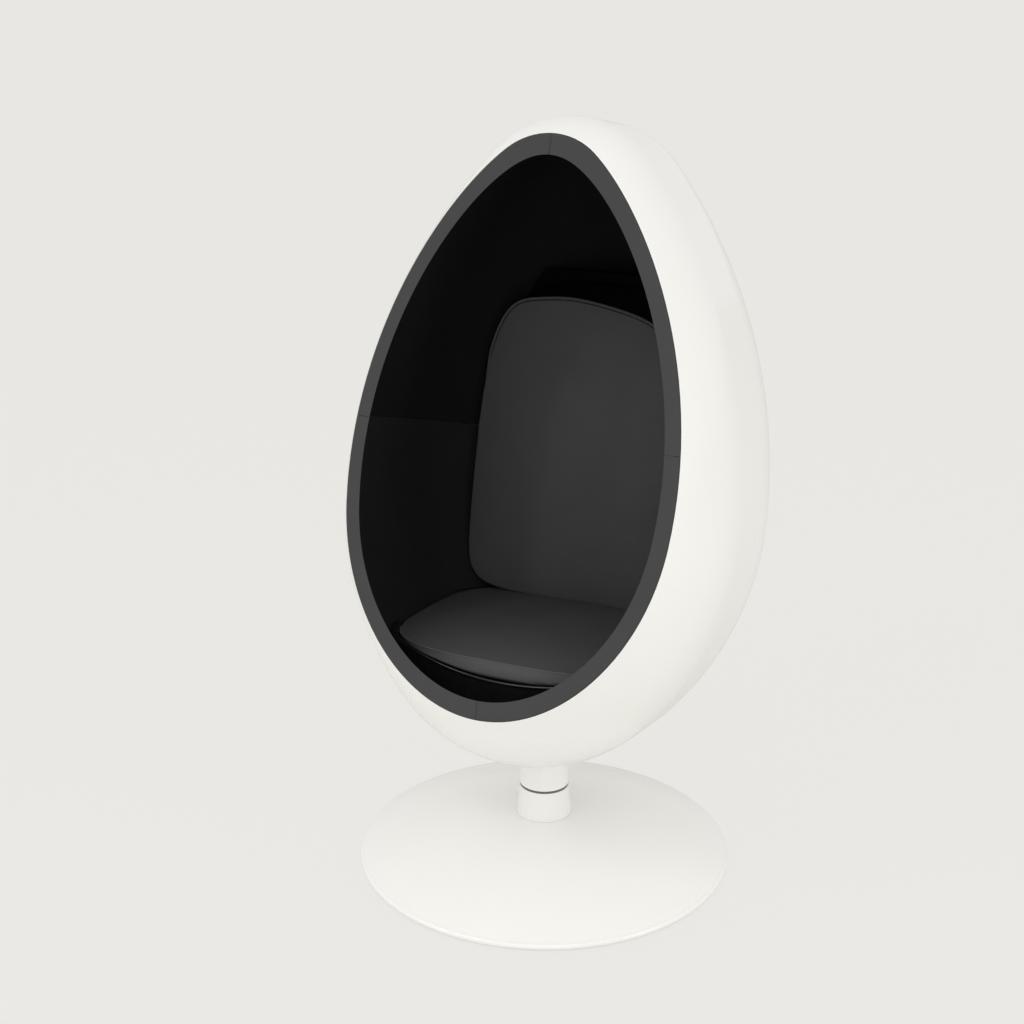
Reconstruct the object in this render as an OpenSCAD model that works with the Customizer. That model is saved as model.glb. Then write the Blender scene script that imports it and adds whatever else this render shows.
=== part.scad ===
/* [Pod shape] */
// Half width of the pod at its widest level
pod_r = 348; // [340:1:356]
// Height of the pod's top over its widest level, along the pod's axis
pod_up = 671.3; // [663:0.1:683]
// Radius of the cap that closes the top
top_cap_r = 170; // [160:1:180]
// Depth of the pod's bottom under its widest level, along the pod's axis
pod_down = 454.7; // [452:0.1:459]
// Radius of the cap that closes the bottom
bottom_cap_r = 285; // [280:1:290]
// Half length of the straight run between the front and the back half turn
pod_run = 68; // [62:1:76]
// Lean of the pod's long axis towards the back, in degrees
pod_lean = 10.8; // [10:0.1:11.6]
// How far the pod's centre stands behind the swivel axis
pod_y = 66; // [60:1:72]
// Height of the pod's centre over the floor
pod_z = 663; // [658:1:668]

/* [Opening] */
// Lean of the plane that cuts the pod open, in degrees
open_lean = 19; // [18:0.5:20]
// Distance of that plane in front of the pod's centre
open_off = 260; // [252:1:268]
// Thickness of the rubber strip between the shell's edge and the padded rim
trim_t = 1.5; // [1:0.1:2]
// How far the padded rim stands in front of the shell's edge
rim_proud = 5; // [4:0.5:7]

/* [Shell and lining] */
// Wall of the moulded outer shell
shell_t = 5; // [4:0.5:6]
// Depth from the shell's outside to the face of the lining
lining_depth = 19; // [18:0.5:21]
// Height of the cross seam where it meets the rim
seam_z = 851; // [835:1:865]
// Fall of the cross seam towards the back, in degrees
seam_lean = 17.5; // [16:0.5:19]
// Groove between two lining panels
seam_gap = 0.6; // [0.4:0.1:1.2]
// Radius of the opening in the lining round the pod's mount
lining_hole_r = 95; // [92:1:100]

/* [Seat] */
// Height of the seat plane over the swivel axis
seat_z = 435; // [432:1:438]
// Fall of the seat towards the back, in degrees
seat_lean = 7; // [6.5:0.5:7.5]
// Half width of the seat cushion
seat_w = 257; // [250:1:258]
// Half length of the seat cushion
seat_l = 235; // [230:1:236]
// Middle of the seat cushion behind the swivel axis
seat_mid = 48; // [46:1:50]
// Squareness of the seat cushion's outline
seat_square = 3.4; // [2.8:0.1:3.6]
// Crown of the seat cushion
seat_crown = 8; // [4:1:9]
// How much narrower the cushion is at its foot than at its top edge, each side
seat_taper_w = 13; // [12:0.5:16]
// How much shorter the cushion is at its foot than at its top edge, each end
seat_taper_l = 4; // [3:0.5:8]
// How far the sides of both cushions are drawn in
side_draw = 3; // [1:0.5:5]
// Radius of the dished pan under the cushion
dish_r = 530; // [520:5:540]
// Depth of the dish under the seat plane
dish_depth = 87.5; // [86:0.5:89]
// Wall of the seat pan and of the back pan
pan_t = 4.5; // [4:0.5:5]
// Radius of the bowed front of the seat pan, seen from above
bow_r = 760; // [720:5:800]
// How far the lip of the pan stands in front of the cushion
lip_proud = 4; // [2:0.5:6]
// How far the corners of the pan lie under the seat plane
lip_drop = 1.5; // [1:0.5:3]
// How far the skirt stands behind the lip
skirt_set = 2; // [1:0.5:4]
// How far the arc under the skirt's foot runs past both ends of the skirt
skirt_room = 20; // [16:1:24]

/* [Back] */
// Foot of the back cushion's front face behind the swivel axis
back_y = 213; // [210:1:214]
// Height of that foot
back_z = 413; // [413:0.5:416]
// Lean of the back cushion, in degrees
back_lean = 9; // [8.5:0.5:9.5]
// Half width of the back cushion
back_w = 260; // [250:1:261]
// Height of the back cushion's front face
back_h = 569; // [560:1:575]
// Height of the back cushion at its rear
back_rear_h = 610; // [600:1:612]
// Level of the widest place of the back cushion over its foot
back_wide = 200; // [180:5:220]
// Thickness of the back cushion
back_t = 72; // [70:1:73]
// Crown of the back cushion
back_crown = 12; // [5:1:16]
// How far the front of the back cushion falls back at its sides
back_bow = 10; // [6:1:12]
// Squareness of the cushion's lower corners
back_low_square = 7; // [5:0.5:8]
// Squareness of the cushion's upper corners
back_top_square = 4.2; // [3.6:0.1:4.6]
// Height of the moulded back pan over the cushion's foot
back_pan_h = 618; // [614:1:626]

/* [Fixings of the back] */
// Radius of a screw that holds the back pan
back_screw_r = 3; // [2.5:0.5:3.5]
// Radius of a spacer boss behind the back pan
spacer_r = 9; // [8:0.5:10]
// Radius of a glued insert in the lining
insert_r = 13; // [12:0.5:16]
// Distance of the screws from the middle
back_screw_x = 95; // [85:1:105]
// Level of the lower pair of screws over the cushion's foot
back_screw_low = 190; // [180:5:200]
// Level of the upper pair of screws over the cushion's foot
back_screw_high = 450; // [440:5:460]

/* [Pod mount] */
// Height of the wooden block over the pole of the pod
block_h = 40; // [38:1:44]
// Radius of the wooden block
block_r = 84; // [80:1:86]
// Radius of the steel mounting flange
flange_r = 75; // [74:1:78]
// Thickness of the steel mounting flange
flange_t = 8; // [7:1:9]
// Number of mounting bolts, of riser legs and of riser screws
mount_count = 4; // [4:1:4]
// Radius of the circle of mounting bolts
mount_bolt_pitch = 31; // [30:0.5:32]
// Radius of a mounting bolt
mount_bolt_r = 4; // [3:0.5:4]
// Height of a nut or a bolt head of the mount
nut_h = 6.5; // [5:0.5:7]
// Height of the cast saddle's flat underside over the floor
saddle_z = 186; // [182:1:189]
// Radius of a leg of the seat riser
leg_r = 8; // [7:0.5:9]
// Radius of the circle of riser legs and riser screws
leg_pitch = 60; // [58:1:62]
// Angle of the first leg
leg_turn = 45; // [40:1:50]
// Half width of the riser's ring
riser_w = 12; // [10:1:13]
// Thickness of the riser's ring
riser_t = 5; // [4:0.5:6]
// Radius of a riser screw and of a pan screw
riser_screw_r = 3; // [2.5:0.5:3.5]
// Height of the solid foot of a leg under its thread
leg_solid = 24; // [16:1:30]

/* [Swivel] */
// Radius of the spindle
spindle_r = 20; // [19:0.5:20.5]
// Height of the spindle's lower end over the floor
spindle_low_z = 44; // [40:1:48]
// Radius of the thrust bearing's races and of the spindle's shoulder
race_r = 33.5; // [32:0.5:33.5]
// Thickness of a race
race_t = 3; // [2:0.5:3]
// Radius of a bearing ball
ball_r = 2.45; // [2.2:0.05:2.45]
// Number of bearing balls
ball_count = 16; // [12:1:20]
// Thickness of the ball cage
cage_t = 1.6; // [1.2:0.2:2]
// Space between the cage and the edges of the races
cage_gap = 2; // [1.5:0.5:2.5]
// Height of the spindle's shoulder
shoulder_t = 8; // [6:1:12]
// Length of a bush
bush_l = 22; // [18:1:26]
// Height of the lower bush over the spindle's lower end
bush_rise = 12; // [11:1:16]
// Thickness of the washer under the lower bush
washer_t = 2.7; // [2:0.1:3]
// Thickness of the circlip
circlip_t = 2; // [1.5:0.5:2.5]
// Width of the circlip's section
circlip_w = 4.6; // [4:0.2:5]
// Mouth of the circlip
circlip_mouth = 9; // [7:1:12]
// Depth of the circlip's groove
groove_d = 1.4; // [1:0.2:2]

/* [Column] */
// Radius of the column where the two collars meet
collar_r = 45; // [45:0.5:47]
// Radius of the lower collar at the base
collar_foot_r = 51; // [49:0.5:54]
// Wall of both collars
collar_t = 3; // [2.5:0.5:3.5]
// Height of the lower collar's top over the floor
collar_top_z = 141; // [139:1:143]
// Height of the dark ring's gap between the collars
ring_h = 5; // [4.5:0.5:6]
// Outer radius of the steel column tube
tube_r = 34; // [34:0.5:36]
// Radius of the bore of the column tube
tube_bore_r = 25; // [24:0.5:26]
// Radius of the column's foot
foot_r = 75; // [72:1:85]
// Thickness of the column's foot
foot_t = 8; // [6:1:10]
// Radius of a foot bolt
foot_bolt_r = 4; // [3:0.5:4]
// Radius of the circle of foot bolts
foot_bolt_pitch = 58; // [55:1:60]
// Number of foot bolts
foot_bolt_count = 6; // [4:1:8]
// Height of a foot bolt's head
foot_bolt_head = 6; // [4:0.5:7]

/* [Base] */
// Radius of the base
base_r = 340; // [334:1:350]
// Height of the cover's rounded edge
edge_h = 12; // [11:0.5:13]
// Radius of the domed top of the base
dome_r = 800; // [790:5:820]
// Wall of the base cover
cover_t = 4; // [3:0.5:4.5]
// Gap under the edge of the cover
floor_gap = 2; // [1.5:0.5:2.5]
// Width of the solid rim of the cover behind its rounded edge
cover_lip = 8; // [6:1:10]
// Radius of a screw boss under the cover
boss_r = 7; // [6:0.5:8]
// Radius of the circle of screw bosses
boss_pitch = 272; // [264:1:274]
// Number of screw bosses
boss_count = 6; // [4:1:8]
// Radius of a cover screw
cover_screw_r = 2.5; // [2:0.5:3]
// Length of a cover screw
cover_screw_l = 16; // [14:1:18]
// Radius of the steel base plate
plate_r = 316; // [312:1:318]
// Thickness of the steel base plate
plate_t = 8; // [7:0.5:8]
// Thickness of the rubber pad under the plate
pad_h = 4; // [3.5:0.5:4]
// Distance of the pad's edge from the edge of the plate
pad_inset = 6; // [4:1:8]

/* [Clearances] */
// Between pieces that are stacked, pushed or screwed together
seat_fit = 0.1; // [0.1:0.05:0.15]
// Between curved faces that lie against each other
skin_gap = 0.3; // [0.3:0.05:0.4]
// Between a shaft or a ball and its seat
shaft_fit = 0.05; // [0.03:0.01:0.08]
// Between pieces that turn past each other
turn_gap = 0.5; // [0.4:0.1:0.6]
// Overrun of every cut
over = 1; // [0.5:0.5:1]

/* [Hidden] */
$fn = 96;

// Larger than the whole chair
reach = 6 * pod_r;
// Segments of the widest arcs
wide_fn = 300;
// Hexagons: across the corners as a share of the bolt
hex_sides = 6;
hex_share = 1.75;
// Half turns that close an egg
half_turn = 180;
halves = [0, 1];
sides = [-1, 1];

// Egg outline: a side arc and a cap, tangent where the line through both centres meets them
function side_arc(r, height, cap) = (pow(r, 2) + pow(height - cap, 2) - pow(cap, 2)) / (2 * (r - cap));
upper_side_r = side_arc(pod_r, pod_up, top_cap_r);
lower_side_r = side_arc(pod_r, pod_down, bottom_cap_r);
function cap_level(r, side, cap) = sqrt(pow(side - cap, 2) - pow(side - r, 2));
function tangent_level(r, side, cap) = side * cap_level(r, side, cap) / (side - cap);
module half_outline(r, side, cap) {
    level = cap_level(r, side, cap);
    join = tangent_level(r, side, cap);
    intersection() {
        translate([r - side, 0])
            circle(r = side);
        square([r, join]);
    }
    intersection() {
        translate([0, level])
            circle(r = cap);
        translate([0, join])
            square([r, level + cap]);
    }
}
module egg_outline(inset) {
    half_outline(pod_r - inset, upper_side_r - inset, top_cap_r - inset);
    mirror([0, 1])
        half_outline(pod_r - inset, lower_side_r - inset, bottom_cap_r - inset);
}
// Radius of the egg at a level, and half width of the lining's bowl at a place of the pod's middle plane
function egg_r(h, inset) =
    let (
        r = pod_r - inset,
        side = (h > 0 ? upper_side_r : lower_side_r) - inset,
        cap = (h > 0 ? top_cap_r : bottom_cap_r) - inset
    )
    abs(h) < tangent_level(r, side, cap)
        ? r - side + sqrt(pow(side, 2) - pow(h, 2))
        : sqrt(max(0, pow(cap, 2) - pow(abs(h) - cap_level(r, side, cap), 2)));
function pod_place(y, z) = [
    (y - pod_y) * cos(pod_lean) - (z - pod_z) * sin(pod_lean),
    (y - pod_y) * sin(pod_lean) + (z - pod_z) * cos(pod_lean)
];
function bowl_half(y, z) =
    let (
        place = pod_place(y, z),
        r = egg_r(place[1], lining_depth + 2 * skin_gap),
        run = max(0, abs(place[0]) - pod_run)
    )
    sqrt(max(0, pow(r, 2) - pow(run, 2)));
function kept_in(p, half) = [sign(p[0]) * min(abs(p[0]), half), p[1]];
// The pod's form: a half turn at the back, a straight run, and a half turn at the front
module egg(inset) {
    translate([0, pod_y, pod_z])
        rotate([-pod_lean, 0, 0]) {
            for (half = halves)
                rotate([0, 0, half_turn * half])
                    translate([0, pod_run, 0])
                        rotate_extrude(angle = half_turn)
                            egg_outline(inset);
            rotate([90, 0, 0])
                linear_extrude(2 * pod_run, center = true) {
                    egg_outline(inset);
                    mirror([1, 0])
                        egg_outline(inset);
                }
        }
}
// All that lies in front of the opening plane, moved forward by a distance
module in_front(forward) {
    translate([0, pod_y, pod_z])
        rotate([-open_lean, 0, 0])
            translate([-reach / 2, -open_off - forward - reach, -reach / 2])
                cube(reach);
}
module ring(outer, inner, h) {
    difference() {
        cylinder(r = outer, h = h);
        translate([0, 0, -over])
            cylinder(r = inner, h = h + 2 * over);
    }
}
module around(count, pitch, turn = 0) {
    for (i = [0:count - 1])
        rotate([0, 0, turn + 2 * half_turn * i / count])
            translate([pitch, 0, 0])
                children();
}
// A pin along Z from one level to another
module pin(r, low, high) {
    translate([0, 0, low])
        cylinder(r = r, h = high - low);
}

// Levels of the base, worked out from the floor up
plate_z = pad_h;
foot_z = plate_z + plate_t;
edge_r = edge_h / 2;
dome_z = floor_gap + edge_r - sqrt(pow(dome_r - edge_r, 2) - pow(base_r - edge_r, 2));
tube_top_z = collar_top_z - race_t;
// Levels of the swivel: the balls lie level with the gap between the collars
race_gap = 2 * ball_r + 2 * shaft_fit;
ball_z = collar_top_z + race_gap / 2;
upper_race_z = collar_top_z + race_gap;
shoulder_z = upper_race_z + race_t;
lower_bush_z = spindle_low_z + bush_rise;
washer_z = lower_bush_z - washer_t - turn_gap;
circlip_z = washer_z - circlip_t - seat_fit;
// Levels of the mount inside the pod
pole_z = pod_z - pod_down * cos(pod_lean);
block_top = pole_z + block_h;
flange_top = block_top + flange_t;
riser_top = flange_top + riser_t;

// Base cover: a spun dome with a rounded edge, open below, with screw bosses inside
module dome_ball(grow) {
    translate([0, 0, dome_z])
        sphere(r = dome_r + grow, $fn = wide_fn);
}
module cover_profile() {
    difference() {
        union() {
            intersection() {
                translate([0, dome_z])
                    circle(r = dome_r, $fn = wide_fn);
                translate([0, floor_gap])
                    square([base_r - edge_r, dome_r]);
            }
            translate([base_r - edge_r, floor_gap + edge_r])
                circle(r = edge_r);
        }
        intersection() {
            translate([0, dome_z])
                circle(r = dome_r - cover_t, $fn = wide_fn);
            translate([0, -over])
                square([base_r - edge_r - cover_lip, dome_r]);
        }
    }
}
module base_cover() {
    color("white")
        difference() {
            union() {
                rotate_extrude()
                    cover_profile();
                intersection() {
                    around(boss_count, boss_pitch)
                        pin(boss_r, foot_z, dome_r);
                    dome_ball(-cover_t / 2);
                }
            }
            cylinder(r = tube_r + cover_t, h = dome_r);
            around(boss_count, boss_pitch)
                pin(cover_screw_r + shaft_fit, foot_z - over, plate_z + cover_screw_l + over);
        }
}

// Base plate: a steel disc that keeps the chair upright
module base_plate() {
    color("dimgray")
        difference() {
            translate([0, 0, plate_z])
                ring(plate_r, tube_bore_r, plate_t);
            around(foot_bolt_count, foot_bolt_pitch)
                pin(foot_bolt_r + seat_fit, 0, foot_z + over);
            around(boss_count, boss_pitch) {
                pin(cover_screw_r + seat_fit, 0, foot_z + over);
                pin(2 * cover_screw_r + seat_fit, 0, plate_z + cover_screw_r);
            }
        }
}

// Floor pad: a rubber sheet glued under the plate, over the heads of the screws
module floor_pad() {
    color("#1c1c1c")
        cylinder(r = plate_r - pad_inset, h = pad_h);
}

// Cover screws: from below, through the plate into the bosses
module cover_screws() {
    color("silver")
        around(boss_count, boss_pitch) {
            pin(cover_screw_r, plate_z + seat_fit, plate_z + cover_screw_l);
            pin(2 * cover_screw_r, plate_z + seat_fit, plate_z + cover_screw_r - seat_fit);
        }
}

// Column foot: a steel disc welded round the tube
module column_foot() {
    color("gray")
        difference() {
            translate([0, 0, foot_z])
                ring(foot_r, tube_r + shaft_fit, foot_t);
            around(foot_bolt_count, foot_bolt_pitch)
                pin(foot_bolt_r + seat_fit, 0, foot_z + foot_t + over);
        }
}
module foot_bolts() {
    color("silver")
        around(foot_bolt_count, foot_bolt_pitch) {
            pin(foot_bolt_r, plate_z, foot_z + foot_t + over);
            translate([0, 0, foot_z + foot_t])
                cylinder(r = hex_share * foot_bolt_r, h = foot_bolt_head, $fn = hex_sides);
        }
}

// Column tube: thick steel, bored for the two bushes
module column_tube() {
    color("gray")
        translate([0, 0, foot_z])
            ring(tube_r, tube_bore_r, tube_top_z - foot_z);
}

// Lower collar: a slightly conical cover that stands on the dome
collar_low_z = dome_z + sqrt(pow(dome_r, 2) - pow(collar_foot_r, 2));
module lower_collar() {
    color("white")
        difference() {
            translate([0, 0, collar_low_z])
                difference() {
                    cylinder(r1 = collar_foot_r, r2 = collar_r, h = collar_top_z - collar_low_z);
                    cylinder(r1 = collar_foot_r - collar_t, r2 = collar_r - collar_t,
                        h = collar_top_z - collar_low_z);
                }
            dome_ball(skin_gap);
        }
}

// Reveal ring: dark nylon in the gap between the two collars
module reveal_ring() {
    color("#555555")
        translate([0, 0, collar_top_z])
            ring(collar_r - over, race_r + collar_t, ring_h - turn_gap);
}

// Bushes: sintered bronze, pushed into the ends of the tube's bore
module bush() {
    ring(tube_bore_r - shaft_fit, spindle_r + shaft_fit, bush_l);
}
module upper_bush() {
    color("#b08d57")
        translate([0, 0, tube_top_z - bush_l])
            bush();
}
module lower_bush() {
    color("#b08d57")
        translate([0, 0, lower_bush_z])
            bush();
}

// Thrust bearing: two races, a cage and its balls
ball_pitch = (race_r + spindle_r) / 2;
module race() {
    ring(race_r, spindle_r + shaft_fit, race_t);
}
module lower_race() {
    color("lightgray")
        translate([0, 0, tube_top_z])
            race();
}
module ball_cage() {
    color("#c9a227")
        difference() {
            translate([0, 0, ball_z - cage_t / 2])
                ring(race_r - cage_gap, spindle_r + cage_gap, cage_t);
            around(ball_count, ball_pitch)
                pin(ball_r + shaft_fit, ball_z - cage_t, ball_z + cage_t);
        }
}
module bearing_balls() {
    color("silver")
        translate([0, 0, ball_z])
            around(ball_count, ball_pitch)
                sphere(r = ball_r);
}
module upper_race() {
    color("lightgray")
        translate([0, 0, upper_race_z])
            race();
}

// Spindle: turned steel with a shoulder over the bearing and a circlip groove at its foot
module spindle() {
    color("silver")
        difference() {
            union() {
                pin(spindle_r, spindle_low_z, flange_top);
                pin(race_r, shoulder_z, shoulder_z + shoulder_t);
            }
            translate([0, 0, circlip_z - seat_fit / 2])
                ring(spindle_r + over, spindle_r - groove_d - shaft_fit, circlip_t + seat_fit);
        }
}
module spindle_washer() {
    color("lightgray")
        translate([0, 0, washer_z])
            ring(tube_bore_r - turn_gap, spindle_r + shaft_fit, washer_t);
}
module spindle_circlip() {
    color("#404040")
        translate([0, 0, circlip_z])
            difference() {
                ring(spindle_r - groove_d + circlip_w, spindle_r - groove_d, circlip_t);
                translate([0, -circlip_mouth / 2, -over])
                    cube([reach, circlip_mouth, circlip_t + 2 * over]);
            }
}

// Pod mount: a flange inside, a block under it, the shell, and a cast saddle outside
module mount_holes() {
    around(mount_count, mount_bolt_pitch)
        pin(mount_bolt_r + seat_fit, 0, pod_z);
    pin(spindle_r + shaft_fit, 0, pod_z);
}
module mount_flange() {
    color("gray")
        difference() {
            pin(flange_r, block_top, flange_top);
            mount_holes();
            around(mount_count, leg_pitch)
                pin(riser_screw_r + seat_fit, 0, pod_z);
        }
}
module mount_block() {
    color("#c49a6c")
        difference() {
            intersection() {
                cylinder(r = block_r, h = block_top);
                egg(shell_t + skin_gap);
            }
            mount_holes();
        }
}
module shell_saddle() {
    color("darkgray")
        difference() {
            pin(collar_r - collar_t - skin_gap, saddle_z, pod_z);
            egg(-skin_gap);
            mount_holes();
        }
}
module mount_bolts() {
    color("silver")
        around(mount_count, mount_bolt_pitch) {
            pin(mount_bolt_r, saddle_z - nut_h - over, flange_top + over);
            translate([0, 0, flange_top])
                cylinder(r = hex_share * mount_bolt_r, h = nut_h, $fn = hex_sides);
        }
}
module mount_nuts() {
    color("silver")
        difference() {
            translate([0, 0, saddle_z - nut_h])
                around(mount_count, mount_bolt_pitch)
                    cylinder(r = hex_share * mount_bolt_r, h = nut_h, $fn = hex_sides);
            around(mount_count, mount_bolt_pitch)
                pin(mount_bolt_r + shaft_fit, 0, saddle_z + over);
        }
}

// Upper collar: turns with the pod, cut to the shell's form at its top
module upper_collar() {
    color("white")
        difference() {
            translate([0, 0, collar_top_z + ring_h])
                ring(collar_r - seat_fit, collar_r - collar_t, pole_z);
            egg(-skin_gap);
        }
}

// Outer shell: one moulded wall, cut by the leaning plane and drilled for the mount
module outer_shell() {
    color("white")
        difference() {
            egg(0);
            egg(shell_t);
            in_front(0);
            mount_holes();
        }
}

// Edge trim: a rubber strip between the rim of the shell and the padding that is turned over it
module edge_trim() {
    color("#111111")
        difference() {
            intersection() {
                egg(0);
                in_front(seat_fit);
            }
            egg(shell_t);
            in_front(trim_t);
        }
}

// Lining: four padded panels, which meet at the middle and at the cross seam
seam_y = pod_y - (open_off - (seam_z - pod_z) * sin(open_lean)) / cos(open_lean);
module half_space(side) {
    translate([side > 0 ? seam_gap / 2 : -reach - seam_gap / 2, -reach / 2, 0])
        cube(reach);
}
module over_seam() {
    translate([0, seam_y, seam_z])
        rotate([-seam_lean, 0, 0])
            translate([-reach / 2, -reach / 2, seam_gap / 2])
                cube(reach);
}
module under_seam() {
    translate([0, seam_y, seam_z])
        rotate([-seam_lean, 0, 0])
            translate([-reach / 2, -reach / 2, -seam_gap / 2 - reach])
                cube(reach);
}
module padding(side) {
    difference() {
        intersection() {
            egg(shell_t + skin_gap);
            half_space(side);
        }
        egg(lining_depth);
        in_front(trim_t);
    }
}
module lining_upper(side) {
    color("#2b2b2d")
        difference() {
            intersection() {
                padding(side);
                over_seam();
            }
            insert_pins(insert_r + skin_gap, back_screw_high, side);
        }
}
module lining_lower(side) {
    color("#2b2b2d")
        difference() {
            intersection() {
                padding(side);
                under_seam();
            }
            insert_pins(insert_r + skin_gap, back_screw_low, side);
            cylinder(r = lining_hole_r, h = pod_z);
        }
}
module lining_upper_left() {
    lining_upper(-1);
}
module lining_upper_right() {
    lining_upper(1);
}
module lining_lower_left() {
    lining_lower(-1);
}
module lining_lower_right() {
    lining_lower(1);
}

// Rim: four padded strips round the opening, over the edges of the shell and of the lining
module rim(side) {
    difference() {
        intersection() {
            egg(0, $fn = wide_fn);
            half_space(side);
            in_front(trim_t + seat_fit);
        }
        egg(lining_depth, $fn = wide_fn);
        in_front(rim_proud);
    }
}
module rim_upper(side) {
    color("#4a4a4c")
        intersection() {
            rim(side);
            over_seam();
        }
}
module rim_lower(side) {
    color("#4a4a4c")
        intersection() {
            rim(side);
            under_seam();
        }
}
module rim_upper_left() {
    rim_upper(-1);
}
module rim_upper_right() {
    rim_upper(1);
}
module rim_lower_left() {
    rim_lower(-1);
}
module rim_lower_right() {
    rim_lower(1);
}

// The seat's own frame: its plane falls towards the back
module at_seat() {
    translate([0, 0, seat_z])
        rotate([-seat_lean, 0, 0])
            children();
}
module dish(inset) {
    at_seat()
        translate([0, seat_mid, dish_r - dish_depth])
            sphere(r = dish_r - inset, $fn = wide_fn);
}
// The space behind the bowed front
module behind_bow(inset) {
    at_seat()
        translate([0, seat_mid - seat_l - lip_proud + bow_r, -reach / 2])
            cylinder(r = bow_r - inset, h = reach, $fn = wide_fn);
}

// Seat riser: a welded ring with four legs that carry the seat pan
module seat_riser() {
    color("#303030")
        difference() {
            union() {
                translate([0, 0, flange_top])
                    ring(leg_pitch + riser_w, leg_pitch - riser_w, riser_t);
                around(mount_count, leg_pitch, leg_turn)
                    pin(leg_r, flange_top, seat_z);
            }
            dish(-pan_t - seat_fit);
            around(mount_count, leg_pitch)
                pin(riser_screw_r + seat_fit, 0, seat_z);
            around(mount_count, leg_pitch, leg_turn)
                pin(riser_screw_r + shaft_fit, riser_top + leg_solid, seat_z);
        }
}
module riser_screws() {
    color("silver")
        around(mount_count, leg_pitch) {
            pin(riser_screw_r, block_top, riser_top + over);
            translate([0, 0, riser_top])
                cylinder(r = 2 * riser_screw_r, h = riser_screw_r);
        }
}

// Seat pan: a moulded dish whose edge lies against the lining and ends in a lip at the front
module under_seat_plane() {
    at_seat()
        translate([-reach / 2, -reach / 2, -lip_drop - reach])
            cube(reach);
}
module seat_pan() {
    color("#0c0c0c")
        difference() {
            intersection() {
                egg(lining_depth + skin_gap);
                behind_bow(0);
                under_seat_plane();
                dish(-pan_t);
            }
            dish(0);
            around(mount_count, leg_pitch, leg_turn)
                pin(riser_screw_r + seat_fit, flange_top, seat_z);
            intersection() {
                around(mount_count, leg_pitch, leg_turn)
                    pin(2 * riser_screw_r + seat_fit, flange_top, seat_z);
                dish(-pan_t / 2);
            }
        }
}
// Seat skirt: a bowed wall under the lip of the pan, down to the lining. Its foot follows one arc
// inside the pod, which touches the pod's outline over the lip and meets it again under the bow.
lip_y = seat_mid - seat_l - lip_proud;
lip_place = pod_place(lip_y * cos(seat_lean), seat_z - lip_y * sin(seat_lean));
low_join = tangent_level(pod_r, lower_side_r, bottom_cap_r);
low_cap = cap_level(pod_r, lower_side_r, bottom_cap_r);
function depth_at(r) = r > egg_r(-low_join, 0)
    ? sqrt(pow(lower_side_r, 2) - pow(r + lower_side_r - pod_r, 2))
    : low_cap + sqrt(pow(bottom_cap_r, 2) - pow(r, 2));
arc_top = -lip_place[1] - skirt_room;
arc_from = [egg_r(-arc_top, 0), -arc_top];
arc_end = -lip_place[0] - pod_run - skirt_room;
arc_to = [arc_end, -depth_at(arc_end)];
arc_fall = arc_top < low_join ? asin(arc_top / lower_side_r) : asin((arc_top - low_cap) / bottom_cap_r);
arc_out = [cos(arc_fall), -sin(arc_fall)];
skirt_arc_r = pow(norm(arc_to - arc_from), 2) / (2 * arc_out * (arc_from - arc_to));
arc_middle = arc_from - skirt_arc_r * arc_out;
module front_bowl(inset) {
    translate([0, pod_y, pod_z])
        rotate([-pod_lean, 0, 0])
            translate([0, -pod_run, 0])
                rotate_extrude($fn = wide_fn)
                    intersection() {
                        translate(arc_middle)
                            circle(r = skirt_arc_r - inset);
                        translate([0, -reach])
                            square([reach, reach - arc_top]);
                    }
}
module seat_skirt() {
    color("#0c0c0c")
        difference() {
            intersection() {
                front_bowl(lining_depth + skin_gap);
                behind_bow(skirt_set);
                under_seat_plane();
            }
            behind_bow(skirt_set + pan_t);
            dish(-pan_t - seat_fit);
        }
}
module pan_screws() {
    color("silver")
        difference() {
            union() {
                around(mount_count, leg_pitch, leg_turn)
                    pin(riser_screw_r, riser_top + leg_solid + over, seat_z);
                intersection() {
                    around(mount_count, leg_pitch, leg_turn)
                        pin(2 * riser_screw_r, flange_top, seat_z);
                    dish(seat_fit - pan_t / 2);
                }
            }
            dish(-seat_fit);
        }
}

// The back's own frame: Y runs to the rear, Z up along the lean
module at_back() {
    translate([0, back_y, back_z])
        rotate([-back_lean, 0, 0])
            children();
}
module slab(near, far) {
    at_back()
        translate([0, far, 0])
            rotate([90, 0, 0])
                linear_extrude(far - near)
                    children();
}
module insert_pins(r, level, side) {
    slab(back_t, reach)
        translate([side * back_screw_x, level])
            circle(r = r);
}
module all_insert_pins(r) {
    for (side = sides) {
        insert_pins(r, back_screw_low, side);
        insert_pins(r, back_screw_high, side);
    }
}
module whole_slab(near, far) {
    slab(near, far)
        square(2 * reach, center = true);
}

// Inserts: aluminium discs glued to the inside of the shell, flush with the padding round them
module back_inserts() {
    color("lightgray")
        difference() {
            intersection() {
                all_insert_pins(insert_r);
                egg(shell_t + skin_gap);
            }
            egg(lining_depth);
            all_insert_pins(back_screw_r + shaft_fit);
        }
}

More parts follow.
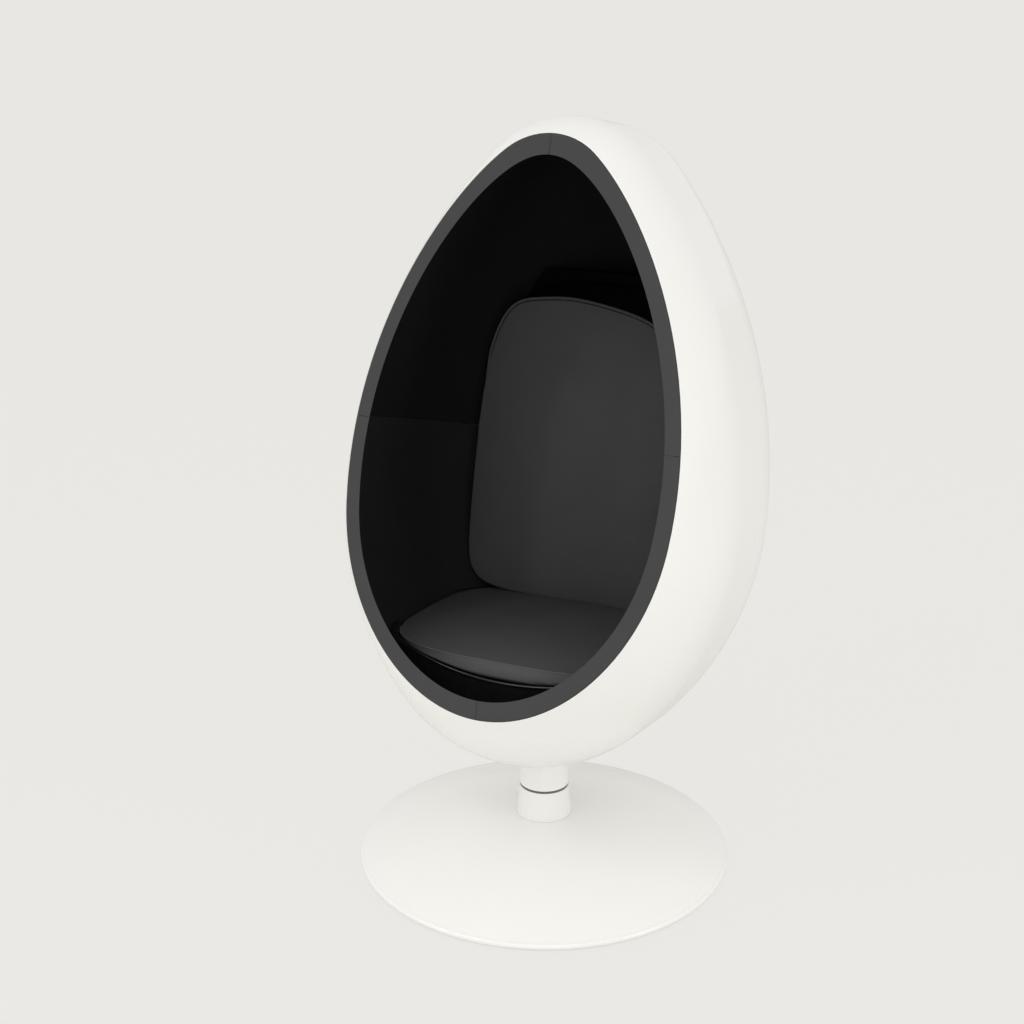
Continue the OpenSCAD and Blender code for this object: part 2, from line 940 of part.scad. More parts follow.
// Back pan: a moulded board behind the back cushion, whose top wall runs back to the lining
tray_z = back_t + skin_gap;
module back_pan() {
    color("#0c0c0c")
        difference() {
            intersection() {
                union() {
                    slab(tray_z, tray_z + pan_t)
                        translate([-reach / 2, back_pan_h - reach])
                            square(reach);
                    slab(tray_z, reach / 2)
                        translate([-reach / 2, back_pan_h - pan_t])
                            square([reach, pan_t]);
                    all_insert_pins(spacer_r);
                }
                egg(lining_depth + skin_gap);
                dish(skin_gap);
                whole_slab(tray_z, reach);
            }
            all_insert_pins(back_screw_r + seat_fit);
            intersection() {
                all_insert_pins(2 * back_screw_r + seat_fit);
                whole_slab(0, tray_z + pan_t / 2);
            }
        }
}
module back_pan_screws() {
    color("silver")
        intersection() {
            union() {
                all_insert_pins(back_screw_r);
                intersection() {
                    all_insert_pins(2 * back_screw_r);
                    whole_slab(0, tray_z + pan_t / 2 - seat_fit);
                }
            }
            whole_slab(tray_z + seat_fit, reach);
            egg(shell_t + skin_gap + over);
        }
}

// Cushions: rings of points from the middle of the face, over the edge, to the middle of the rear
face_shares = [0.3, 0.55, 0.75, 0.87, 0.95, 1];
side_shares = [0.25, 0.5, 0.75, 1];
rear_shares = [0.7, 0.35];
ring_points = 64;
turns = [for (i = [0:ring_points - 1]) 2 * half_turn * (i + 1 / 2) / ring_points];
function bent(v, p) = sign(v) * pow(abs(v), p);
function drawn(s, w) = 1 - (4 * side_draw / w) * s * (1 - s);
module loft(first, rings, last) {
    count = len(rings);
    points = concat([first, last], [for (ring = rings) each ring]);
    function at(k, i) = 2 + k * ring_points + i % ring_points;
    faces = concat(
        [for (i = [0:ring_points - 1]) [0, at(0, i + 1), at(0, i)]],
        [for (i = [0:ring_points - 1]) [1, at(count - 1, i), at(count - 1, i + 1)]],
        [for (k = [0:count - 2]) for (i = [0:ring_points - 1]) [at(k, i), at(k, i + 1), at(k + 1, i + 1)]],
        [for (k = [0:count - 2]) for (i = [0:ring_points - 1]) [at(k, i), at(k + 1, i + 1), at(k + 1, i)]]
    );
    polyhedron(points, faces);
}

// Seat cushion: a crowned top, drawn-in sides and a round belly that lies in the dish
crown_power = 4;
function seat_half(y, z) = let (far = y + seat_mid)
    bowl_half(far * cos(seat_lean) + z * sin(seat_lean), seat_z - far * sin(seat_lean) + z * cos(seat_lean));
function seat_flat(a, w, l) =
    let (p = [w * bent(cos(a), 2 / seat_square), l * bent(sin(a), 2 / seat_square)])
    kept_in(p, seat_half(p[1], 0));
function seat_rise(p, s) = seat_crown * (1 - pow(s, crown_power)) * (1 - pow(max(0, p[1] / seat_l), 2));
function dish_at(p) = dish_r - dish_depth - sqrt(pow(dish_r - skin_gap, 2) - pow(p[0], 2) - pow(p[1], 2));
function seat_face(s) = [for (a = turns) let (p = s * seat_flat(a, seat_w, seat_l))
    [p[0], p[1] + seat_mid, seat_rise(p, s)]];
function seat_side(s) = [for (a = turns)
    let (
        top = seat_flat(a, seat_w, seat_l),
        foot = seat_flat(a, seat_w - seat_taper_w, seat_l - seat_taper_l),
        p = drawn(s, seat_w) * (top * (1 - s) + foot * s)
    )
    [p[0], p[1] + seat_mid, s * dish_at(foot)]];
function seat_belly(s) = [for (a = turns)
    let (p = s * seat_flat(a, seat_w - seat_taper_w, seat_l - seat_taper_l))
    [p[0], p[1] + seat_mid, dish_at(p)]];
module seat_cushion() {
    color("#3a3a3d")
        at_seat()
            loft([0, seat_mid, seat_crown],
                concat([for (s = face_shares) seat_face(s)],
                    [for (s = side_shares) seat_side(s)],
                    [for (s = rear_shares) seat_belly(s)]),
                [0, seat_mid, dish_at([0, 0])]);
}

// Back cushion: a crowned and bowed face, and sides that run back until they lie in the bowl
back_taper_share = 0.09;
back_rise_power = 3;
function back_flat(a, top) = [
    back_w * bent(cos(a), 2 / (sin(a) > 0 ? back_top_square : back_low_square))
        * (1 - back_taper_share * max(0, bent(sin(a), 2 / back_top_square))),
    sin(a) > 0 ? (top - back_wide) * bent(sin(a), 2 / back_top_square)
        : back_wide * bent(sin(a), 2 / back_low_square)
];
function in_bowl(p, depth) =
    let (
        level = p[1] + back_wide,
        y = back_y + depth * cos(back_lean) + level * sin(back_lean),
        z = back_z - depth * sin(back_lean) + level * cos(back_lean),
        q = kept_in(p, bowl_half(y, z))
    )
    [q[0], depth, level];
function back_set(p) = back_bow * pow(p[0] / back_w, 2);
function back_edge(a) =
    let (
        p = back_flat(a, back_h),
        q = in_bowl(p, back_set(p))
    )
    [q[0], p[1]];
function back_face(s) = [for (a = turns) let (p = s * back_edge(a))
    [p[0], back_set(p) - back_crown * (1 - pow(s, back_rise_power)), p[1] + back_wide]];
function back_side(s) = [for (a = turns)
    let (
        near = back_edge(a),
        rear = back_flat(a, back_rear_h)
    )
    in_bowl(drawn(s, back_w) * (near * (1 - s) + rear * s), back_set(near) * (1 - s) + back_t * s)];
function back_rear(s) = [for (p = back_side(1)) [s * p[0], back_t, back_wide + s * (p[2] - back_wide)]];
module back_cushion() {
    color("#3a3a3d")
        at_back()
            loft([0, -back_crown, back_wide],
                concat([for (s = face_shares) back_face(s)],
                    [for (s = side_shares) back_side(s)],
                    [for (s = rear_shares) back_rear(s)]),
                [0, back_t, back_wide]);
}

base_cover();
base_plate();
floor_pad();
cover_screws();
column_foot();
foot_bolts();
column_tube();
lower_collar();
reveal_ring();
upper_bush();
lower_bush();
lower_race();
ball_cage();
bearing_balls();
upper_race();
spindle();
spindle_washer();
spindle_circlip();
mount_flange();
mount_block();
shell_saddle();
mount_bolts();
mount_nuts();
upper_collar();
outer_shell();
edge_trim();
lining_upper_left();
lining_upper_right();
lining_lower_left();
lining_lower_right();
rim_upper_left();
rim_upper_right();
rim_lower_left();
rim_lower_right();
seat_riser();
riser_screws();
seat_pan();
seat_skirt();
pan_screws();
back_inserts();
back_pan();
back_pan_screws();
seat_cushion();
back_cushion();
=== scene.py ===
import math

import bpy
from mathutils import Euler, Matrix, Vector


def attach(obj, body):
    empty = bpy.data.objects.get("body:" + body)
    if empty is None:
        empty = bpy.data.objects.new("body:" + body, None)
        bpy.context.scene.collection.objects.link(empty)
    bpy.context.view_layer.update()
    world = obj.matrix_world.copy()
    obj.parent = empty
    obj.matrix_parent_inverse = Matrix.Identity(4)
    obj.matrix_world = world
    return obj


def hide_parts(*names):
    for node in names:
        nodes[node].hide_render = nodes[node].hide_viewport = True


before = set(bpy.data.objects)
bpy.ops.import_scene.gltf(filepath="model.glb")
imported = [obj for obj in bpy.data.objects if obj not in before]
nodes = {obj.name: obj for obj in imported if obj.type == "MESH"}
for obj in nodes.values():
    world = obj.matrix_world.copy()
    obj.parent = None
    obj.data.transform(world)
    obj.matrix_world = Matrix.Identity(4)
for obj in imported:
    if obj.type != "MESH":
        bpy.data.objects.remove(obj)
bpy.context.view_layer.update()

scene = bpy.context.scene


# Studio: a plain pale floor that runs far back, an even pale surround, weak soft lamps in
# front, at the right and near the floor, two tall narrow ones on the left that draw the
# highlights on the glossy lip, and the camera at the photograph's angle.
class Wire:
    """An output in a material's tree. Sums and products with it add Math nodes."""

    def __init__(self, tree, socket=None):
        self.tree = tree
        self.socket = socket

    def node(self, kind, settings=None, sockets=None, out=0):
        """Adds a node: its settings first, then the values or links of its sockets."""
        made = self.tree.nodes.new("ShaderNode" + kind)
        for name, value in (settings or {}).items():
            setattr(made, name, value)
        for name, value in (sockets or {}).items():
            if isinstance(value, Wire):
                self.tree.links.new(value.socket, made.inputs[name])
            else:
                made.inputs[name].default_value = value
        return Wire(self.tree, made.outputs[out] if made.outputs else None)

    def __add__(self, other):
        return self.node("Math", {"operation": "ADD"}, {0: self, 1: other})

    __radd__ = __add__

    def __mul__(self, other):
        return self.node("Math", {"operation": "MULTIPLY"}, {0: self, 1: other})

    __rmul__ = __mul__

    def wave(self):
        return self.node("Math", {"operation": "SINE"}, {0: self})

    def blend(self, first, second):
        """The first colour where this value is 0, the second where it is 1."""
        sockets = {0: self, 6: (*first, 1), 7: (*second, 1)}
        return self.node("Mix", {"data_type": "RGBA"}, sockets, 2)


backdrop_colour = (0.8228, 0.8148, 0.7835, 1)


def backdrop(holder, flat_kind, flat_share, lit_kind, lit_sockets, output_kind):
    """The camera sees a share of the flat backdrop colour, other rays see the lit shader."""
    holder.use_nodes = True
    tree = holder.node_tree
    tree.nodes.clear()
    wire = Wire(tree)
    seen = wire.node("LightPath", out="Is Camera Ray")
    flat = wire.node(flat_kind, sockets={"Color": backdrop_colour, "Strength": 1})
    lit = wire.node(lit_kind, sockets=lit_sockets)
    mixed = wire.node("MixShader", sockets={0: seen * flat_share, 1: lit, 2: flat})
    wire.node(output_kind, sockets={"Surface": mixed})


floor_reach = 60
floor_flat_share = 0.9
bpy.ops.object.select_all(action="DESELECT")
bpy.ops.mesh.primitive_circle_add(vertices=64, radius=floor_reach, fill_type="NGON")
floor = bpy.context.object
floor.name = "studio_floor"
paper = bpy.data.materials.new("studio_paper")
backdrop(paper, "Emission", floor_flat_share, "BsdfDiffuse", {"Color": backdrop_colour},
         "OutputMaterial")
floor.data.materials.append(paper)

glow_colour = (1, 0.99, 0.97, 1)
glow_strength = 0.8
surround = bpy.data.worlds.new("studio_surround")
backdrop(surround, "Background", 1, "Background",
         {"Color": glow_colour, "Strength": glow_strength}, "OutputWorld")
scene.world = surround


def soft_lamp(name, place, target, width, height, watts):
    lamp = bpy.data.lights.new(name, "AREA")
    lamp.shape = "RECTANGLE"
    lamp.size = width
    lamp.size_y = height
    lamp.energy = watts
    holder = bpy.data.objects.new(name, lamp)
    scene.collection.objects.link(holder)
    holder.location = place
    holder.rotation_euler = (Vector(target) - Vector(place)).to_track_quat("-Z", "Y").to_euler()


pod_middle = (0, 0, 0.6)
soft_lamp("lamp_high_right", (1.7, -3.0, 3.5), (0, 0, 0.7), width=2.0, height=2.0, watts=10)
soft_lamp("lamp_front", (1.5, -3.6, 1.6), pod_middle, width=2.0, height=2.0, watts=10)
soft_lamp("lamp_right", (3.6, -0.6, 1.6), pod_middle, width=1.5, height=1.5, watts=18)
soft_lamp("lamp_low_left", (-1.2, -1.5, 0.35), (0, -0.15, 0.5), width=0.6, height=0.6, watts=2)

lip_middle = (0, -0.19, 0.43)
soft_lamp("lamp_lip_left", (-2.32, -2.7, 2.85), lip_middle, width=0.25, height=2.0, watts=12)
soft_lamp("lamp_lip_right", (-1.2, -2.7, 3.56), lip_middle, width=0.25, height=2.0, watts=12)

camera_turn = math.radians(23.457)
camera_tilt = math.radians(19.835)
camera_distance = 3.18292
aim_side = -0.059348
aim_height = 0.669664
to_right = Vector((math.cos(camera_turn), math.sin(camera_turn), 0))
to_camera = Vector((math.sin(camera_turn) * math.cos(camera_tilt),
                    -math.cos(camera_turn) * math.cos(camera_tilt),
                    math.sin(camera_tilt)))
camera = bpy.data.cameras.new("camera")
camera.sensor_width = 36
camera.lens = 64.26
camera.clip_end = 200
viewer = bpy.data.objects.new("camera", camera)
scene.collection.objects.link(viewer)
viewer.location = to_right * aim_side + Vector((0, 0, aim_height)) + to_camera * camera_distance
viewer.rotation_euler = Euler((math.pi / 2 - camera_tilt, 0, camera_turn))
scene.camera = viewer
scene.view_settings.view_transform = "Standard"


# Base: a spun white cover over a steel plate that stands on a rubber pad. The cover is
# screwed to the plate, and the column's foot is bolted to it.
def finish(name, **constants):
    """A new material with one Principled shader: its constants are set on its own sockets."""
    made = bpy.data.materials.new(name)
    made.use_nodes = True
    shader = made.node_tree.nodes["Principled BSDF"]
    for socket, value in constants.items():
        shader.inputs[socket.replace("_", " ")].default_value = value
    return made, shader, Wire(made.node_tree)


def feed(shader, paint, **wires):
    for socket, value in wires.items():
        paint.tree.links.new(value.socket, shader.inputs[socket.replace("_", " ")])


def places(paint):
    return paint.node("TexCoord", out="Object")


def noise(paint, scale, detail, stretch=None):
    """Soft noise, drawn out into streaks where a stretch is given."""
    where = places(paint)
    if stretch:
        where = paint.node("Mapping", sockets={"Vector": where, "Scale": stretch})
    return paint.node("TexNoise", sockets={"Vector": where, "Scale": scale, "Detail": detail})


def bump(paint, height, strength, distance):
    return paint.node("Bump",
                      sockets={"Strength": strength, "Distance": distance, "Height": height})


def speckled(name, scale, detail, dark, light, roughness, spread, stretch=None,
             relief=0, relief_depth=0, **constants):
    """A finish whose colour, roughness and relief all follow one noise."""
    made, shader, paint = finish(name, **constants)
    speck = noise(paint, scale, detail, stretch)
    feed(shader, paint, Base_Color=speck.blend(dark, light), Roughness=roughness + spread * speck)
    if relief:
        feed(shader, paint, Normal=bump(paint, speck, relief, relief_depth))
    return made


def coat(node_names, material):
    for name in node_names:
        node = nodes[name]
        node.data.materials.clear()
        node.data.materials.append(material)


dull_white = (0.875, 0.872, 0.85)
clean_white = (0.9, 0.897, 0.877)
gel_coat, shader, paint = finish("white_gel_coat", Coat_Weight=0.6, Coat_Roughness=0.08)
cloudy = noise(paint, scale=3, detail=3)
fine = noise(paint, scale=60, detail=2)
ripple = noise(paint, scale=34, detail=1)
feed(shader, paint,
     Base_Color=cloudy.blend(dull_white, clean_white),
     Roughness=0.26 + 0.1 * fine,
     Normal=bump(paint, ripple, strength=0.04, distance=0.002))

powder_coat = speckled("black_powder_coat", scale=900, detail=2,
                       dark=(0.045, 0.045, 0.048), light=(0.07, 0.07, 0.074),
                       roughness=0.42, spread=0.2, relief=0.3, relief_depth=0.0004)
rubber = speckled("black_rubber", scale=500, detail=3,
                  dark=(0.014, 0.014, 0.014), light=(0.028, 0.028, 0.028),
                  roughness=0.6, spread=0.25, relief=0.25, relief_depth=0.0005)
zinc = speckled("zinc_plate", scale=260, detail=4,
                dark=(0.48, 0.49, 0.5), light=(0.62, 0.62, 0.6),
                roughness=0.28, spread=0.2, Metallic=1)

coat(["base_cover"], gel_coat)
coat(["base_plate", "column_foot", "column_tube"], powder_coat)
coat(["floor_pad"], rubber)
coat(["cover_screws", "foot_bolts"], zinc)


# Swivel: a ground spindle turns in two bronze bushes and stands on a ball bearing, held
# by a washer and a circlip. Two white collars cover it, with a grey nylon ring between.
ground_steel = speckled("ground_steel", scale=1, detail=3, stretch=(60, 60, 2400),
                        dark=(0.52, 0.52, 0.53), light=(0.66, 0.66, 0.66),
                        roughness=0.14, spread=0.18, Metallic=1)
bronze = speckled("sintered_bronze", scale=1400, detail=3,
                  dark=(0.36, 0.25, 0.11), light=(0.54, 0.39, 0.18),
                  roughness=0.36, spread=0.25, relief=0.3, relief_depth=0.0003, Metallic=1)
nylon = speckled("grey_nylon", scale=420, detail=2,
                 dark=(0.1, 0.1, 0.1), light=(0.14, 0.14, 0.14),
                 roughness=0.45, spread=0.15)

coat(["spindle", "lower_race", "upper_race", "bearing_balls"], ground_steel)
coat(["upper_bush", "lower_bush", "ball_cage"], bronze)
coat(["spindle_washer", "spindle_circlip"], zinc)
coat(["lower_collar", "upper_collar"], gel_coat)
coat(["reveal_ring"], nylon)


# Pod mount: the flange welded to the spindle is bolted through a plywood block and a cast
# saddle that spreads the load under the shell.
def along(paint, vector, axis):
    return paint.node("SeparateXYZ", sockets={"Vector": vector}, out=axis)


two_plies = 0.003
dark_ply = (0.33, 0.2, 0.1)
pale_ply = (0.62, 0.45, 0.27)
plywood, shader, paint = finish("birch_plywood")
ply = 0.5 + 0.5 * (along(paint, places(paint), "Z") * (2 * math.pi / two_plies)).wave()
fibre = noise(paint, scale=1, detail=4, stretch=(20, 300, 300))
feed(shader, paint,
     Base_Color=(0.6 * ply + 0.4 * fibre).blend(dark_ply, pale_ply),
     Roughness=0.5 + 0.2 * fibre,
     Normal=bump(paint, fibre, strength=0.2, distance=0.0005))

cast_metal = speckled("cast_aluminium", scale=380, detail=4,
                      dark=(0.5, 0.51, 0.52), light=(0.7, 0.7, 0.7),
                      roughness=0.4, spread=0.25, relief=0.4, relief_depth=0.0008, Metallic=1)

coat(["mount_block"], plywood)
coat(["shell_saddle"], cast_metal)
coat(["mount_flange", "mount_bolts", "mount_nuts"], zinc)


# Pod shell: one glossy white moulding, an egg cut open by a leaning plane, with a thin
# rubber strip between its edge and the padded rim.
coat(["outer_shell"], gel_coat)
coat(["edge_trim"], rubber)


# Lining: four foam panels glued to the shell, under black wool. The lower two take a lighter
# copy of that wool, painted light for the light they catch as they face upwards. They meet at
# seams in the middle and at two thirds of the height, and their cloth is turned in there.
def cloth(name, dark, light, shine=0.25):
    """Felted wool over a fine plain weave, whose threads show as a low relief."""
    thread_pitch = 0.0022
    made, shader, paint = finish(name, Specular_IOR_Level=shine)
    spot = [along(paint, places(paint), axis) for axis in "XYZ"]
    face = [along(paint, paint.node("TexCoord", out="Normal"), axis) for axis in "XYZ"]
    thread = [(part * (2 * math.pi / thread_pitch)).wave() for part in spot]
    share = [part * part for part in face]
    weave = (share[2] * thread[0] * thread[1] + share[0] * thread[1] * thread[2]
             + share[1] * thread[0] * thread[2])
    hair = noise(paint, scale=1500, detail=3)
    patch = noise(paint, scale=9, detail=3)
    tone = 0.5 * patch + 0.3 * hair + 0.1 * (1 + weave)
    feed(shader, paint,
         Base_Color=tone.blend(dark, light),
         Roughness=0.82 + 0.15 * hair,
         Normal=bump(paint, weave + 0.9 * hair, strength=0.35, distance=0.0004))
    return made


def pick(piece):
    """Makes this object the active one, and the only one that is selected."""
    bpy.ops.object.select_all(action="DESELECT")
    bpy.context.view_layer.objects.active = piece
    piece.select_set(True)


def unpacked(node_name, name):
    """A merged copy of a CAD node's mesh, as a new object."""
    piece = bpy.data.objects.new(name, nodes[node_name].data.copy())
    scene.collection.objects.link(piece)
    piece.data.materials.clear()
    pick(piece)
    bpy.ops.object.mode_set(mode="EDIT")
    bpy.ops.mesh.select_all(action="SELECT")
    bpy.ops.mesh.remove_doubles(threshold=1e-5)
    bpy.ops.mesh.customdata_custom_splitnormals_clear()
    bpy.ops.object.mode_set(mode="OBJECT")
    return piece


def apply(piece, kind, **settings):
    pick(piece)
    added = piece.modifiers.new(kind.lower(), kind)
    for name, value in settings.items():
        setattr(added, name, value)
    bpy.ops.object.modifier_apply(modifier=added.name)


def turned_in(node_name, name, soft_edge, material):
    """A padded panel: the node's own form, with soft edges where its cloth is turned in."""
    edge_angle = math.radians(40)
    smooth_angle = math.radians(50)
    panel = unpacked(node_name, name)
    apply(panel, "BEVEL", width=soft_edge, segments=3, limit_method="ANGLE",
          angle_limit=edge_angle)
    panel.data.materials.append(material)
    bpy.ops.object.shade_smooth_by_angle(angle=smooth_angle)
    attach(panel, "pod")
    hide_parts(node_name)


panel_edge = 0.003
black_wool = cloth("black_wool", (0.008, 0.008, 0.0083), (0.017, 0.017, 0.0175), shine=0.1)
# The lower panels' wool is the same black wool made lighter: painted light.
lower_wool_painted_light = cloth("lower_wool_painted_light", (0.014, 0.014, 0.0144), (0.028, 0.028, 0.0286), shine=0.1)
for level, wool in (("upper", black_wool), ("lower", lower_wool_painted_light)):
    for side in ("left", "right"):
        turned_in("lining_" + level + "_" + side, "panel_" + level + "_" + side,
                  panel_edge, wool)


# Rim: four strips of foam in charcoal wool close the edge of the lining all round the
# opening. They are glued on, and their seams lie at the sides, the top and the bottom. Their
# wool is a darker copy of the cushions' charcoal wool, painted shade against the stronger
# light on the rim.
rim_edge = 0.0013
# The same charcoal wool made darker: painted shade against the stronger light on the rim.
rim_wool_painted_shade = cloth("rim_wool_painted_shade", (0.047, 0.047, 0.0485), (0.067, 0.067, 0.0685))
for level in ("upper", "lower"):
    for side in ("left", "right"):
        turned_in("rim_" + level + "_" + side, "rim_strip_" + level + "_" + side,
                  rim_edge, rim_wool_painted_shade)


# Seat frame: a welded steel ring with four legs under the seat, screwed to the mounting
# block. The seat pan is a glossy black moulded dish with a bowed front and a skirt.
dark_gloss = (0.006, 0.006, 0.0065)
scuffed_gloss = (0.012, 0.012, 0.0125)
black_gloss = speckled("black_gloss", scale=40, detail=4, dark=dark_gloss, light=scuffed_gloss,
                       roughness=0.1, spread=0.14, Coat_Weight=1, Coat_Roughness=0.04)

coat(["seat_riser"], powder_coat)
coat(["riser_screws", "pan_screws"], zinc)
coat(["seat_pan", "seat_skirt"], black_gloss)


# Seat pan's lip: the front edge of the glossy dish is rolled over to a round bead, which
# follows the bow of the seat and ends at the lining on both sides.
def smooth(piece):
    for face in piece.data.polygons:
        face.use_smooth = True


seat_lean = math.radians(7)
seat_height = 0.435
from_seat = Matrix.Translation((0, 0, seat_height)) @ Matrix.Rotation(-seat_lean, 4, "X")
to_seat = from_seat.inverted()
seat_middle = 0.048
dish_radius = 0.53
dish_middle = Vector((0, seat_middle, 0.4425))


def dish_height(x, y):
    """The height of the dish's hollow, in the seat's own frame."""
    return dish_middle.z - math.sqrt(dish_radius ** 2 - x ** 2 - (y - dish_middle.y) ** 2)


bow_radius = 0.76
bow_front = -0.191
lip_reach = 0.24
lip_bead = 0.003
lip_drop = 0.0015
lip_steps = 48
lip = bpy.data.curves.new("pan_lip", "CURVE")
lip.dimensions = "3D"
lip.bevel_depth = lip_bead
lip.bevel_resolution = 4
lip.use_fill_caps = True
path = lip.splines.new("POLY")
path.points.add(lip_steps)
for i, point in enumerate(path.points):
    x = lip_reach * (2 * i / lip_steps - 1)
    y = bow_front + bow_radius - math.sqrt(bow_radius ** 2 - x ** 2) + lip_bead / 2
    z = min(dish_height(x, y), -lip_drop) - lip_bead
    point.co = (*(from_seat @ Vector((x, y, z))), 1)
bead = bpy.data.objects.new("pan_lip", lip)
scene.collection.objects.link(bead)
pick(bead)
bpy.ops.object.convert(target="MESH")
bead = bpy.context.object
lip_gloss = speckled("lip_gloss", scale=40, detail=4, dark=dark_gloss, light=scuffed_gloss,
                     roughness=0.08, spread=0.06)
bead.data.materials.append(lip_gloss)
smooth(bead)
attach(bead, "pod")


# Back pan: a board in black felt behind the back cushion, screwed to four cast inserts in
# the shell. The felt is darker than the black lining, painted shade for the shadowed recess
# behind the cushion.
# Black felt made darker than the black lining: painted shade for the recess behind the back
# cushion.
back_felt_painted_shade = cloth("back_felt_painted_shade", (0.0025, 0.0025, 0.0026), (0.005, 0.005, 0.0052), shine=0.05)
coat(["back_pan"], back_felt_painted_shade)
coat(["back_inserts"], cast_metal)
coat(["back_pan_screws"], zinc)


# Seat cushion: cut foam in charcoal wool that lies loose in the dish. It has a crowned top,
# a cord sewn into its front edge, and sides under that edge. The cord and the sides take a
# lighter copy of the charcoal wool, painted light for the light that falls on the front.
def inflated(piece):
    """A short cloth simulation under inner pressure, in which no point moves far."""
    farthest = 0.008
    last_step = 20
    start = [v.co.copy() for v in piece.data.vertices]
    swell = piece.modifiers.new("swell", "CLOTH")
    swell.settings.quality = 4
    swell.settings.mass = 0.3
    swell.settings.tension_stiffness = 15
    swell.settings.compression_stiffness = 15
    swell.settings.shear_stiffness = 5
    swell.settings.bending_stiffness = 2
    swell.settings.use_pressure = True
    swell.settings.uniform_pressure_force = 4
    swell.settings.effector_weights.gravity = 0
    swell.settings.vertex_group_mass = "held"
    for step in range(1, last_step + 1):
        scene.frame_set(step)
    pick(piece)
    bpy.ops.object.modifier_apply(modifier=swell.name)
    scene.frame_set(1)
    for vertex, old in zip(piece.data.vertices, start):
        moved = vertex.co - old
        if moved.length > farthest:
            vertex.co = old + moved * (farthest / moved.length)


def swollen(piece, seam, held):
    """Fine quads that swell within a firm seam. The held points stay where they are."""
    firmness = 0.75
    pick(piece)
    bpy.ops.object.mode_set(mode="EDIT")
    bpy.ops.mesh.select_all(action="SELECT")
    bpy.ops.mesh.tris_convert_to_quads(face_threshold=math.pi, shape_threshold=math.pi)
    bpy.ops.object.mode_set(mode="OBJECT")
    firm = piece.data.attributes.new("crease_edge", "FLOAT", "EDGE")
    for edge in piece.data.edges:
        firm.data[edge.index].value = firmness if seam.issuperset(edge.vertices) else 0
    piece.vertex_groups.new(name="seam").add(list(seam), 1, "REPLACE")
    piece.vertex_groups.new(name="held").add(list(seam | held), 1, "REPLACE")
    apply(piece, "SUBSURF", levels=2, render_levels=2)
    inflated(piece)
    apply(piece, "SMOOTH", factor=0.5, iterations=1)
    apply(piece, "SUBSURF", levels=1, render_levels=1)


def welt(piece, name, radius, where, material, outward=None):
    """Cord sewn into the seam: the seam's ring of edges, given a round section."""
    on_ring = 0.99
    seam = piece.vertex_groups["seam"].index
    pick(piece)
    bpy.ops.object.mode_set(mode="EDIT")
    bpy.ops.mesh.select_mode(type="VERT")
    bpy.ops.mesh.select_all(action="DESELECT")
    bpy.ops.object.mode_set(mode="OBJECT")
    for vertex in piece.data.vertices:
        vertex.select = (where(vertex.co)
                         and any(g.group == seam and g.weight > on_ring for g in vertex.groups))
    bpy.ops.object.mode_set(mode="EDIT")
    bpy.ops.mesh.duplicate()
    bpy.ops.mesh.separate(type="SELECTED")
    bpy.ops.object.mode_set(mode="OBJECT")
    cord = [o for o in bpy.context.selected_objects if o != piece][0]
    cord.name = name
    cord.vertex_groups.clear()
    if outward:
        for vertex in cord.data.vertices:
            vertex.co += outward(vertex.co)
    apply(cord, "SMOOTH", factor=0.5, iterations=4)
    bpy.ops.object.convert(target="CURVE")
    cord.data.bevel_depth = radius
    cord.data.bevel_resolution = 2
    cord.data.use_fill_caps = True
    bpy.ops.object.convert(target="MESH")
    cord.data.materials.append(material)
    smooth(cord)
    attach(cord, "pod")


def covered(piece, node_name, front_cloth, side_cloth, on_side):
    """A cushion in two cloths, which stands for its CAD node."""
    piece.data.materials.append(front_cloth)
    piece.data.materials.append(side_cloth)
    for face in piece.data.polygons:
        face.material_index = int(on_side(face))
    smooth(piece)
    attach(piece, "pod")
    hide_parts(node_name)


charcoal_wool = cloth("charcoal_wool", (0.07, 0.07, 0.072), (0.101, 0.101, 0.103))
# A lighter copy of the charcoal wool for the seat's sides and cord: painted light for the light on
# the front face.
border_wool_painted_light = cloth("border_wool_painted_light", (0.11, 0.11, 0.1125), (0.152, 0.152, 0.1545))
seat = unpacked("seat_cushion", "seat_cushion_cover")

# The lower part of the front is pushed out towards the seam's outline, over the dish.
seat_half = Vector((0.257, 0.235))
seat_square = 3.4
side_top = -0.0005
side_start = 0.88
side_blend = 0.06
front_start = -0.04
front_blend = 0.06
front_bulge = 0.8
dish_gap = 0.0004
for vertex in seat.data.vertices:
    spot = to_seat @ vertex.co
    across = Vector((spot.x, spot.y - seat_middle))
    share = ((abs(across.x) / seat_half.x) ** seat_square
             + (abs(across.y) / seat_half.y) ** seat_square) ** (1 / seat_square)
    if spot.z > side_top or share < side_start or share >= 1:
        continue
    front = min(1, max(0, front_start - spot.y) / front_blend)
    near = min(1, (share - side_start) / side_blend)
    across *= 1 + (1 - share) / share * front_bulge * front * near
    y = across.y + seat_middle
    z = max(spot.z, dish_height(across.x, y) + dish_gap)
    vertex.co = from_seat @ Vector((across.x, y, z))

seam_play = 0.00003
seat_held = -0.03
seat_cord = 0.0012
seat_cord_end = -0.085
facing_down = -0.75


def seat_front(place):
    return (to_seat @ place).y < seat_cord_end


def seat_side(face):
    return (to_seat @ face.center).z < 0 and face.normal.z > facing_down


heights = [(to_seat @ v.co).z for v in seat.data.vertices]
swollen(seat, {i for i, z in enumerate(heights) if abs(z) < seam_play},
        {i for i, z in enumerate(heights) if z < seat_held})
welt(seat, "seat_welt", seat_cord, seat_front, border_wool_painted_light)
covered(seat, "seat_cushion", charcoal_wool, border_wool_painted_light, seat_side)


# Back cushion: cut foam with a bowed face in charcoal wool and a cord along its top edge,
# beside which a thin black cord is painted shade for the groove between cord and face. Its
# sides run back to the lining in black felt, made darker than the lining as painted shade for
# that recess. Its upper corner on the sitter's left has slumped, and the other one is full.
def eased(share):
    share = min(1, max(0, share))
    return share * share * (3 - 2 * share)


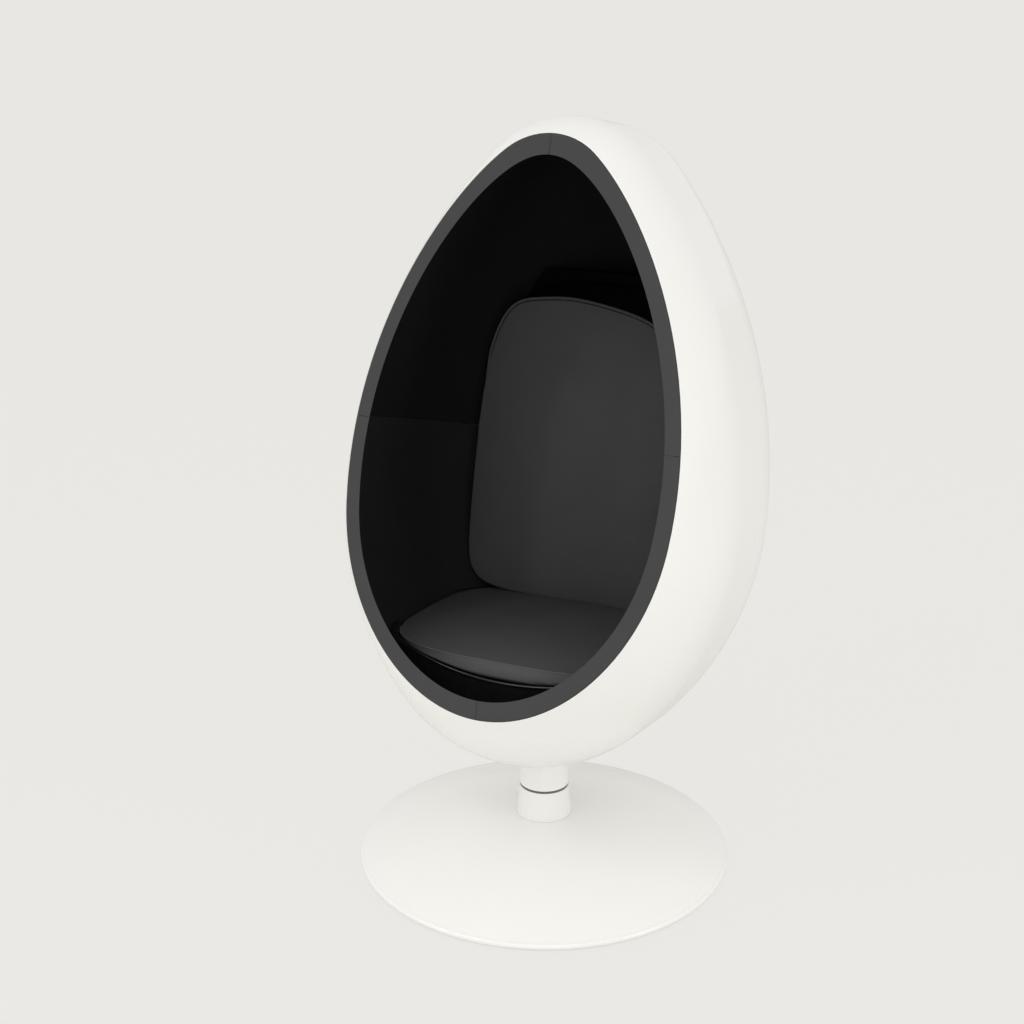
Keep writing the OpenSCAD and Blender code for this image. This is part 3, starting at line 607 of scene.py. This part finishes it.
back_lean = math.radians(9)
back_foot = (0, 0.213, 0.413)
from_back = Matrix.Translation(back_foot) @ Matrix.Rotation(-back_lean, 4, "X")
to_back = from_back.inverted()
bow_depth = 0.01
bow_half = 0.26


def behind_face(spot):
    """How far a place, in the back's own frame, lies behind the bowed face."""
    return spot.y - bow_depth / bow_half ** 2 * spot.x ** 2


back = unpacked("back_cushion", "back_cushion_cover")
depths = [behind_face(to_back @ v.co) for v in back.data.vertices]
slump_start = -0.06
slump_slope = 0.12
slump_bend = 4.1
slump_power = 2.26
slump_most = 0.082
full_corner = 0.0195
full_corner_x = -0.205
full_corner_width = 0.05
slack_start = 0.15
slack_height = 0.35
slack_depth = 0.07
for vertex, depth in zip(back.data.vertices, depths):
    spot = to_back @ vertex.co
    slump = slump_slope * max(0, spot.x - slump_start) + slump_bend * max(0, spot.x) ** slump_power
    lift = full_corner * math.exp(-((spot.x - full_corner_x) / full_corner_width) ** 2)
    share = eased((spot.z - slack_start) / slack_height) * (1 - eased(depth / slack_depth))
    spot.z += (lift - min(slump_most, slump)) * share
    vertex.co = from_back @ spot

seam_depth = 0.0015
back_held = 0.05
face_depth = 0.006
back_cord = 0.003
shadow_cord_radius = 0.0009
back_middle = Vector((0, 0.2))
cord_start = 0.38
cord_fade = 0.09


def back_outward(reach, rear):
    """From the middle of the face towards its edge and to the rear, sunk in at the cord's ends."""
    def moved(place):
        spot = to_back @ place
        sunk = back_cord * (1 - eased((spot.z - cord_start) / cord_fade))
        way = (Vector((spot.x, spot.z)) - back_middle).normalized() * (reach - 2 * sunk)
        return from_back.to_3x3() @ Vector((way.x, rear + sunk, way.y))
    return moved


def back_top(place):
    return (to_back @ place).z > cord_start


def back_side(face):
    return behind_face(to_back @ face.center) > face_depth


swollen(back, {i for i, depth in enumerate(depths) if -seam_play < depth < seam_depth},
        {v.index for v in back.data.vertices if (to_back @ v.co).y > back_held})
welt(back, "back_welt", back_cord, back_top, charcoal_wool,
     back_outward(reach=0.0034, rear=0.001))
# A thin black cord beside the welt: painted shade for the groove between the welt and the face.
welt(back, "back_shadow_cord", shadow_cord_radius, back_top, black_wool,
     back_outward(reach=0, rear=-0.0004))
covered(back, "back_cushion", charcoal_wool, back_felt_painted_shade, back_side)
